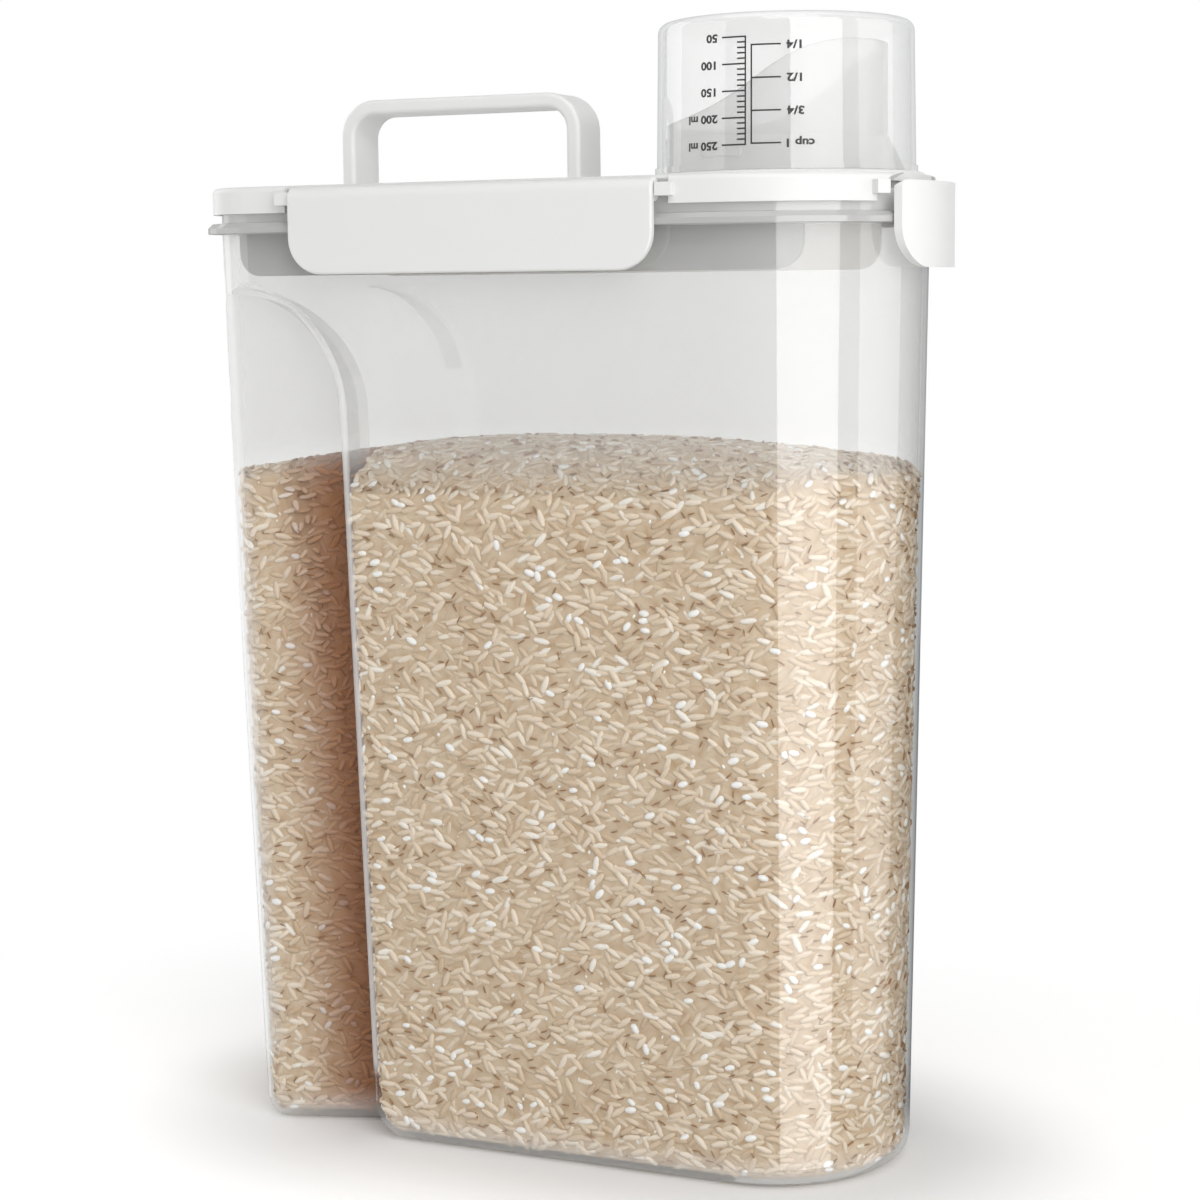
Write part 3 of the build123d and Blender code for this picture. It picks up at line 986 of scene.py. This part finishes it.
        # Dark slivers stand for the shaded gaps between grains, a painted shade; the standing and pale grains
        # turn white, partly chalky grains and partly a painted glint.
        stands = lot < g.given("Stand")
        pale = lot < g.given("Stand") + g.given("Pale")
        shade_slivers = lot > 1.0 - g.given("ShadeSlivers")
        lies = 1.0 - stands
        lie = g.vectors("ADD", g.vectors("SCALE", flat, lies),
                        g.vectors("SCALE", normal, lift * lies + self.stand_lift * stands))
        lean = g.vectors("ADD", lie, g.vectors("SCALE", stray, self.stand_stray * stands))
        side = g.vectors("ADD", g.vectors("SCALE", normal, lies), g.vectors("SCALE", flat, stands))
        turn = g.value("FunctionNodeAxesToRotation", 0, {"primary_axis": "Z", "secondary_axis": "X"},
                       {"Primary Axis": lean, "Secondary Axis": side})
        stand_depth = (g.given("Length") - g.given("Thick")) * 0.5 * stands
        lie_depth = g.random(0.0, 1.0, Draw.SINK) * g.given("Sink") * (1.0 - shade_slivers) * (1.0 - pale)
        depth = -1.0 * (lie_depth + stand_depth)
        tone = self.tone_low + self.tone_span * g.random(0.0, 1.0, Draw.TONE)
        marked = g.store(kept, "tone", "FLOAT", "POINT", tone * (1.0 - pale - shade_slivers) + self.pale_tone * pale)
        sunk = g.value("GeometryNodeSetPosition", 0, None,
                       {"Geometry": marked, "Offset": g.vectors("SCALE", normal, depth)})
        size = g.random(self.size_low, self.size_high, Draw.SIZE)
        width = size * (1.0 - self.shade_sliver_thin * shade_slivers)
        length = size * (1.0 - self.shade_sliver_short * shade_slivers - self.pale_short * (pale - stands))
        laid = g.value("GeometryNodeInstanceOnPoints", 0, None, {
            "Points": sunk, "Instance": self.grain_shape(g), "Rotation": turn,
            "Scale": g.vector(size, width, length),
        })
        real = g.value("GeometryNodeRealizeInstances", 0, None, {0: laid})
        around, along, _ = g.parts(g.stored(GRAIN_MAP, "FLOAT_VECTOR"))
        column = (g.stored("tone", "FLOAT") * (self.grains.tones - self.tone_slack)).floor()
        inset = self.map_edge + (1.0 - 2.0 * self.map_edge) * around
        spot = g.vector((column + inset) / self.grains.tones, along, 0.0)
        mapped = g.store(real, GRAIN_MAP, "FLOAT2", "CORNER", spot)
        bare = g.value("GeometryNodeRemoveAttribute", 0, None, {"Geometry": mapped, "Name": "tone"})
        g.end(bare, g.given("Finish"))
        return g

    def build(self) -> None:
        """Makes the core and the grains, and sets them in the container."""
        core = place_mesh("rice_core", self.moved_in(self.core_depth, False))
        core.data.materials.append(self.bulk.material())
        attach(core, Body.CONTAINER.value)
        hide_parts(self.node)
        tree = self.tree()
        finish = self.grains.material()
        low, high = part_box(self.node)
        step = (high.z - low.z) / self.bands
        for band in range(self.bands):
            grains = tree.grow(f"rice_grains_{band + 1}", self.moved_in(self.lie_depth, True), {
                "Spacing": self.spacing, "Density": self.density, "Length": self.grain_length,
                "Width": self.grain_width, "Thick": self.grain_thick, "Bend": self.grain_bend,
                "Sink": self.sink, "Wander": self.wander, "Tilt": self.tilt, "Stand": self.stand_share,
                "Pale": self.pale_share, "ShadeSlivers": self.shade_sliver_share,
                "Low": low.z + band * step, "High": low.z + (band + 1) * step,
                "Seed": self.seed, "Finish": finish,
            })
            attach(grains, Body.CONTAINER.value)
            LOG.info("%s: %d faces", grains.name, len(grains.data.polygons))


@dataclass
class Shell:
    """Clear container that holds the rice."""

    # The shell's dark edges are a painted refraction, the band a painted highlight and the neck's white a
    # painted light.
    clear: ClearPlastic = field(default_factory=lambda: ClearPlastic(
        name="clear_shell", line_from=-40.0 * MM, line_to=60.0 * MM, line_z=165.0 * MM,
        tint=(0.972, 0.973, 0.971), edge_tint=(0.02, 0.03, 0.035), edge_power=2.2,
        edge_from=-60.0 * MM, edge_to=60.0 * MM, edge_share=0.12, skin_share=0.075, haze=0.01, band=0.55,
        tail_soft=0.8, foot_haze=0.35,
        film=0.165, film_from=234.0 * MM, film_to=258.0 * MM, frost=0.62, frost_from=327.0 * MM,
        neck_from=331.0 * MM))
    rice: RiceFill = field(default_factory=RiceFill)

    def build(self) -> None:
        """Dresses the shell and fills it."""
        dress("container_body", self.clear.material())
        self.rice.build()


@dataclass
class Lid:
    """White lid with its handle, latches, seal and pouring spout."""

    white: SatinPlastic = field(default_factory=lambda: SatinPlastic(
        name="white_plastic", colour=(0.815, 0.815, 0.805), shade=(0.795, 0.795, 0.785), roughness=0.38))
    # The lid's plates below 330 mm carry a painted shade on the front and a painted light at the rear.
    cover: SatinPlastic = field(default_factory=lambda: SatinPlastic(
        name="lid_plastic", colour=(0.815, 0.815, 0.805), shade=(0.795, 0.795, 0.785), roughness=0.38,
        low_from=330.0 * MM))
    seal: SatinPlastic = field(default_factory=lambda: SatinPlastic(
        name="grey_seal", colour=(0.42, 0.42, 0.41), shade=(0.36, 0.36, 0.35), roughness=0.6))
    milky: MilkyPlastic = field(default_factory=lambda: MilkyPlastic(
        name="milky_plastic", colour=(0.85, 0.85, 0.845), body_share=0.4, roughness=0.3))
    white_nodes: tuple[str, ...] = ("carry_handle", "front_latch", "rear_latch", "spout_latch")

    def build(self) -> None:
        """Dresses the lid's pieces."""
        white = self.white.material()
        for node in self.white_nodes:
            dress(node, white)
        dress("lid", self.cover.material())
        dress("lid_gasket", self.seal.material())
        dress("pour_spout", self.milky.material())


@dataclass
class CupMarks:
    """Printed measuring marks, wrapped on the cup's outside so that they read with the cup turned over."""

    bead_out: float = 0.6 * MM
    wall_fall: float = 0.8 * MM
    film: float = 0.04 * MM
    stroke: float = 0.52 * MM
    start_turn: float = -88.4
    left_low: float = 352.4 * MM
    left_count: int = 21
    left_every: int = 5
    left_row: float = 8.63 * MM
    long_tick: float = 8.4 * MM
    short_tick: float = 2.9 * MM
    tick_points: int = 9
    right_line: float = 2.05 * MM
    right_low: float = 352.7 * MM
    right_count: int = 4
    right_step: float = 10.5 * MM
    right_tick: float = 9.8 * MM
    label_size: float = 3.6 * MM
    label_stretch: float = 1.25
    label_bold: float = 0.13 * MM
    label_steps: int = 3
    weld: float = 0.002 * MM
    left_label: float = -10.1 * MM
    left_words: tuple[str, ...] = ("250 ml", "200 ml", "150", "100", "50")
    right_words: tuple[str, ...] = ("cup 1", "3/4", "1/2", "1/4")
    right_ends: tuple[float, ...] = (22.9 * MM, 19.6 * MM, 19.5 * MM, 19.4 * MM)
    ink: Ink = field(default_factory=Ink)
    axis_x: float = field(init=False)
    rim_radius: float = field(init=False)
    top_radius: float = field(init=False)
    rim_z: float = field(init=False)
    top_z: float = field(init=False)

    def __post_init__(self) -> None:
        """Takes the cup's place and size from the frame."""
        low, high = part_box("measuring_cup")
        self.axis_x = (low.x + high.x) / 2.0
        self.rim_radius = (high.x - low.x) / 2.0 - self.bead_out
        self.top_radius = self.rim_radius - self.wall_fall
        self.rim_z = low.z
        self.top_z = high.z

    def radius(self, z: float) -> float:
        """The cup's outer radius at a height."""
        share = (z - self.rim_z) / (self.top_z - self.rim_z)
        return self.rim_radius + (self.top_radius - self.rim_radius) * share

    def tree(self) -> GeometryGraph:
        """The tree that prints one scale: a line with ticks, wrapped on the cup.

        Returns:
            The tree.
        """
        g = GeometryGraph("print_scale", {
            "Count": int, "Step": float, "Every": int, "Long": float, "Short": float, "Stroke": float,
            "Film": float, "Line": float, "Low": float, "Finish": bpy.types.Material,
        })
        whole = g.given("Step") * (g.given("Count") - 1.0)
        places = g.value("GeometryNodeMeshLine", 0, {"mode": "OFFSET"}, {
            "Count": g.given("Count"), "Offset": g.vector(0.0, g.given("Step"), 0.0)})
        index = g.value("GeometryNodeInputIndex", 0)
        is_long = index.modulo(g.given("Every")) < 0.5
        length = g.given("Short") + (g.given("Long") - g.given("Short")) * is_long
        bar = g.add("GeometryNodeMeshCube", None, {
            "Size": (1.0, 1.0, 1.0), "Vertices X": self.tick_points, "Vertices Y": 2, "Vertices Z": 2})
        shifted = g.value("GeometryNodeTransform", 0, None,
                          {"Geometry": bar.outputs["Mesh"], "Translation": (0.5, 0.0, 0.5)})
        ticks = g.value("GeometryNodeInstanceOnPoints", 0, None, {
            "Points": places, "Instance": shifted,
            "Scale": g.vector(length, g.given("Stroke"), g.given("Film"))})
        stem = g.add("GeometryNodeMeshCube", None, {
            "Size": (1.0, 1.0, 1.0), "Vertices X": 2, "Vertices Y": 2, "Vertices Z": 2})
        line = g.value("GeometryNodeTransform", 0, None, {
            "Geometry": stem.outputs["Mesh"],
            "Translation": g.vector(0.0, whole * 0.5, g.given("Film") * 0.5),
            "Scale": g.vector(g.given("Stroke"), whole + g.given("Stroke"), g.given("Film"))})
        both = g.add("GeometryNodeJoinGeometry")
        for part in (ticks, line):
            g.tree.links.new(part.socket, both.inputs[0])
        real = g.value("GeometryNodeRealizeInstances", 0, None, {0: both.outputs[0]})
        arc, rise, out = g.parts(g.value("GeometryNodeInputPosition", 0))
        height = g.given("Low") + rise
        fall = (self.top_radius - self.rim_radius) / (self.top_z - self.rim_z)
        reach = self.rim_radius + fall * (height - self.rim_z) + 0.5 * self.film + out
        turn = math.radians(self.start_turn) + (g.given("Line") + arc) / self.rim_radius
        wrapped = g.value("GeometryNodeSetPosition", 0, None, {
            "Geometry": real,
            "Position": g.vector(self.axis_x + reach * turn.cosine(), reach * turn.sine(), height)})
        g.end(wrapped, g.given("Finish"))
        return g

    def wrap(self, mesh: bpy.types.Mesh, start: float, height: float) -> None:
        """Turns a flat word over and wraps it on the cup.

        Args:
            mesh: The word, standing upright from its left end at the origin.
            start: Arc place of its first letter.
            height: Height of its middle.
        """
        for vertex in mesh.vertices:
            x, y, out = vertex.co
            z = height - y
            turn = math.radians(self.start_turn) + (start - x * self.label_stretch) / self.rim_radius
            reach = self.radius(z) + self.film + out
            vertex.co = (self.axis_x + reach * math.cos(turn), reach * math.sin(turn), z)

    def word(self, text: str, start: float, height: float) -> bpy.types.Mesh:
        """One printed word on the cup.

        Args:
            text: What it says.
            start: Arc place of its first letter.
            height: Height of its middle.

        Returns:
            Its mesh, in place.
        """
        curve = bpy.data.curves.new("word", "FONT")
        curve.body = text
        curve.size = self.label_size
        curve.offset = self.label_bold
        curve.extrude = self.film / 2.0
        curve.resolution_u = self.label_steps
        curve.align_y = "CENTER"
        holder = bpy.data.objects.new("word", curve)
        bpy.context.scene.collection.objects.link(holder)
        depsgraph = bpy.context.evaluated_depsgraph_get()
        mesh = bpy.data.meshes.new_from_object(holder.evaluated_get(depsgraph))
        bpy.data.objects.remove(holder)
        self.wrap(mesh, start, height)
        return mesh

    def words(self, ink: bpy.types.Material) -> bpy.types.Object:
        """All the labels as one piece.

        Args:
            ink: The ink's material.

        Returns:
            The piece.
        """
        work = bmesh.new()
        for row, text in enumerate(self.left_words):
            z = self.left_low + row * self.left_row
            work.from_mesh(self.word(text, self.left_label, z))
        for row, text in enumerate(self.right_words):
            z = self.right_low + row * self.right_step
            work.from_mesh(self.word(text, self.right_ends[row], z))
        bmesh.ops.remove_doubles(work, verts=work.verts, dist=self.weld)
        bmesh.ops.recalc_face_normals(work, faces=work.faces)
        mesh = bpy.data.meshes.new("cup_labels")
        work.to_mesh(mesh)
        work.free()
        mesh.materials.clear()
        mesh.materials.append(ink)
        return place_mesh("cup_labels", mesh)

    def build(self) -> None:
        """Prints both scales and their labels."""
        ink = self.ink.material()
        tree = self.tree()
        empty = bpy.data.meshes.new("cup_scale_start")
        shared = {"Stroke": self.stroke, "Film": self.film, "Finish": ink}
        left = tree.grow("cup_scale_ml", empty.copy(), shared | {
            "Count": self.left_count, "Step": self.left_row / self.left_every, "Every": self.left_every,
            "Long": -self.long_tick, "Short": -self.short_tick, "Line": 0.0, "Low": self.left_low})
        right = tree.grow("cup_scale_share", empty.copy(), shared | {
            "Count": self.right_count, "Step": self.right_step, "Every": 1, "Long": self.right_tick,
            "Short": self.right_tick, "Line": self.right_line, "Low": self.right_low})
        for piece in (left, right, self.words(ink)):
            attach(piece, Body.CUP.value)
            LOG.info("%s: %d faces", piece.name, len(piece.data.polygons))


@dataclass
class Cup:
    """Clear measuring cup over the spout."""

    # The cup's darker edges are a painted refraction of the dark room.
    clear: ClearPlastic = field(default_factory=lambda: ClearPlastic(
        name="clear_cup", line_from=75.3 * MM, line_to=75.3 * MM, line_z=370.0 * MM,
        tint=(0.985, 0.986, 0.986), edge_tint=(0.45, 0.47, 0.47), edge_power=3.0,
        edge_from=-1.0, edge_to=0.0, haze=0.1))
    marks: CupMarks = field(default_factory=CupMarks)

    def build(self) -> None:
        """Dresses the cup and prints it."""
        dress("measuring_cup", self.clear.material())
        self.marks.build()


# Studio


@dataclass(frozen=True)
class Panel:
    """A soft light panel that faces the container."""

    name: str
    turn: float
    distance: float
    middle_z: float
    wide: float
    tall: float
    power: float
    aim: tuple[float, float, float] = (0.0, 0.0, 0.2)

    def build(self) -> None:
        """Hangs the panel."""
        light = bpy.data.lights.new(self.name, "AREA")
        light.shape = "RECTANGLE"
        light.size = self.wide
        light.size_y = self.tall
        light.energy = self.power
        lamp = bpy.data.objects.new(self.name, light)
        bpy.context.scene.collection.objects.link(lamp)
        lamp.visible_camera = False
        angle = math.radians(self.turn)
        lamp.location = (self.distance * math.cos(angle), self.distance * math.sin(angle), self.middle_z)
        look = Vector(self.aim) - lamp.location
        lamp.rotation_euler = look.to_track_quat("-Z", "Y").to_euler()


@dataclass
class Studio:
    """Pale floor, soft light and the camera."""

    camera_place: tuple[float, float, float] = (0.3595, -0.8213, 0.3074)
    camera_yaw: float = 23.4
    camera_pitch: float = 7.17
    camera_roll: float = -0.66
    lens: float = 75.015
    sensor: float = 36.0
    clip: float = 0.01
    fill: float = 0.2
    floor_half: float = 6.0
    floor_colour: Colour = (0.86, 0.86, 0.86)
    floor_lift: float = 0.3
    floor_line: float = 0.07
    shadow_ring_near: float = 0.045
    shadow_ring_far: float = 0.13
    floor_near: float = 0.12
    floor_far: float = 0.3
    panels: tuple[Panel, ...] = (
        Panel("key_panel", turn=-42.0, distance=1.3, middle_z=0.35, wide=1.05, tall=1.9, power=15.0),
        Panel("high_panel", turn=-62.0, distance=0.95, middle_z=1.3, wide=1.0, tall=0.8, power=4.0),
        Panel("left_strip", turn=170.0, distance=1.2, middle_z=0.35, wide=0.6, tall=1.6, power=6.5),
        Panel("left_panel", turn=-150.0, distance=1.5, middle_z=0.5, wide=1.5, tall=1.5, power=6.5),
        Panel("right_panel", turn=15.0, distance=1.4, middle_z=0.35, wide=1.0, tall=1.6, power=6.3),
        Panel("top_panel", turn=-90.0, distance=0.25, middle_z=1.5, wide=1.2, tall=1.2, power=4.0),
        Panel("back_panel", turn=113.0, distance=1.8, middle_z=0.6, wide=2.6, tall=1.5, power=9.0),
    )

    def camera(self) -> None:
        """Sets the camera at the photograph's place and angle."""
        yaw, pitch, roll = (math.radians(a) for a in (self.camera_yaw, self.camera_pitch, self.camera_roll))
        level = Vector((-math.sin(yaw), math.cos(yaw), 0.0))
        right = Vector((math.cos(yaw), math.sin(yaw), 0.0))
        up = Vector((0.0, 0.0, 1.0))
        look = level * math.cos(pitch) - up * math.sin(pitch)
        head = level * math.sin(pitch) + up * math.cos(pitch)
        side = right * math.cos(roll) + head * math.sin(roll)
        crown = head * math.cos(roll) - right * math.sin(roll)
        data = bpy.data.cameras.new("camera")
        data.lens = self.lens
        data.sensor_width = self.sensor
        data.clip_start = self.clip
        camera = bpy.data.objects.new("camera", data)
        bpy.context.scene.collection.objects.link(camera)
        turn = Matrix((side, crown, -look)).transposed().to_4x4()
        camera.matrix_world = Matrix.Translation(self.camera_place) @ turn
        bpy.context.scene.camera = camera

    @staticmethod
    def seen(g: Graph) -> Value:
        """Tells the rays that show the background to the eye, also through clear walls.

        Args:
            g: The graph that it is made in.

        Returns:
            One for those rays, and zero for the others.
        """
        path = g.add("ShaderNodeLightPath")
        eye, through = (Value(g, path.outputs[name]) for name in ("Is Camera Ray", "Is Transmission Ray"))
        return eye.most(through)

    def floor(self) -> None:
        """Lays the floor, which takes the shadow and runs into the background; near the container less lift
        leaves a painted shadow around the base.
        """
        half = self.floor_half
        mesh = bpy.data.meshes.new("floor")
        corners = [(-half, -half, 0), (half, -half, 0), (half, half, 0), (-half, half, 0)]
        mesh.from_pydata(corners, [], [(0, 1, 2, 3)])
        floor = place_mesh("floor", mesh)
        g = ShaderGraph("floor")
        paint = g.value("ShaderNodeBsdfDiffuse", 0, None, {"Color": (*self.floor_colour, 1.0)})
        x, y, _ = g.parts(g.place())
        beside = g.value("ShaderNodeClamp", 0, None,
                         {"Value": x, "Min": -self.floor_line, "Max": self.floor_line})
        away = ((x - beside) ** 2.0 + y ** 2.0) ** 0.5
        none = g.value("ShaderNodeEmission", 0, None, {"Strength": 0.0})
        full = g.value("ShaderNodeEmission", 0, None, {"Strength": self.floor_lift})
        # Near the container the lift falls away: a painted shadow around the base.
        lift = g.mix(g.ramp(away, self.shadow_ring_near, self.shadow_ring_far), none, full)
        raised = g.value("ShaderNodeAddShader", 0, None, {0: paint, 1: lift})
        white = g.value("ShaderNodeEmission", 0, None, {"Strength": 1.0})
        shown = g.mix(g.ramp(away, self.floor_near, self.floor_far), raised, white)
        mesh.materials.append(g.finish(g.mix(self.seen(g), paint, shown)))
        floor.visible_glossy = False

    def world(self) -> None:
        """Lights the room evenly, with a white background."""
        world = bpy.data.worlds.new("studio")
        world.use_nodes = True
        bpy.context.scene.world = world
        g = Graph(world.node_tree)
        strength = self.fill + (1.0 - self.fill) * self.seen(g)
        room = g.value("ShaderNodeBackground", 0, None, {"Color": (1.0, 1.0, 1.0, 1.0), "Strength": strength})
        g.add("ShaderNodeOutputWorld", None, {"Surface": room})

    def build(self) -> None:
        """Sets up the whole studio."""
        bpy.context.scene.view_settings.view_transform = "Standard"
        self.camera()
        self.floor()
        self.world()
        for panel in self.panels:
            panel.build()


def main() -> None:
    """Builds the pieces in order."""
    logging.basicConfig(level=logging.INFO, format="%(name)s: %(message)s")
    for assembly in (Shell(), Lid(), Cup(), Studio()):
        assembly.build()
        LOG.info("built %s", type(assembly).__name__)


if __name__ == "__main__":
    main()
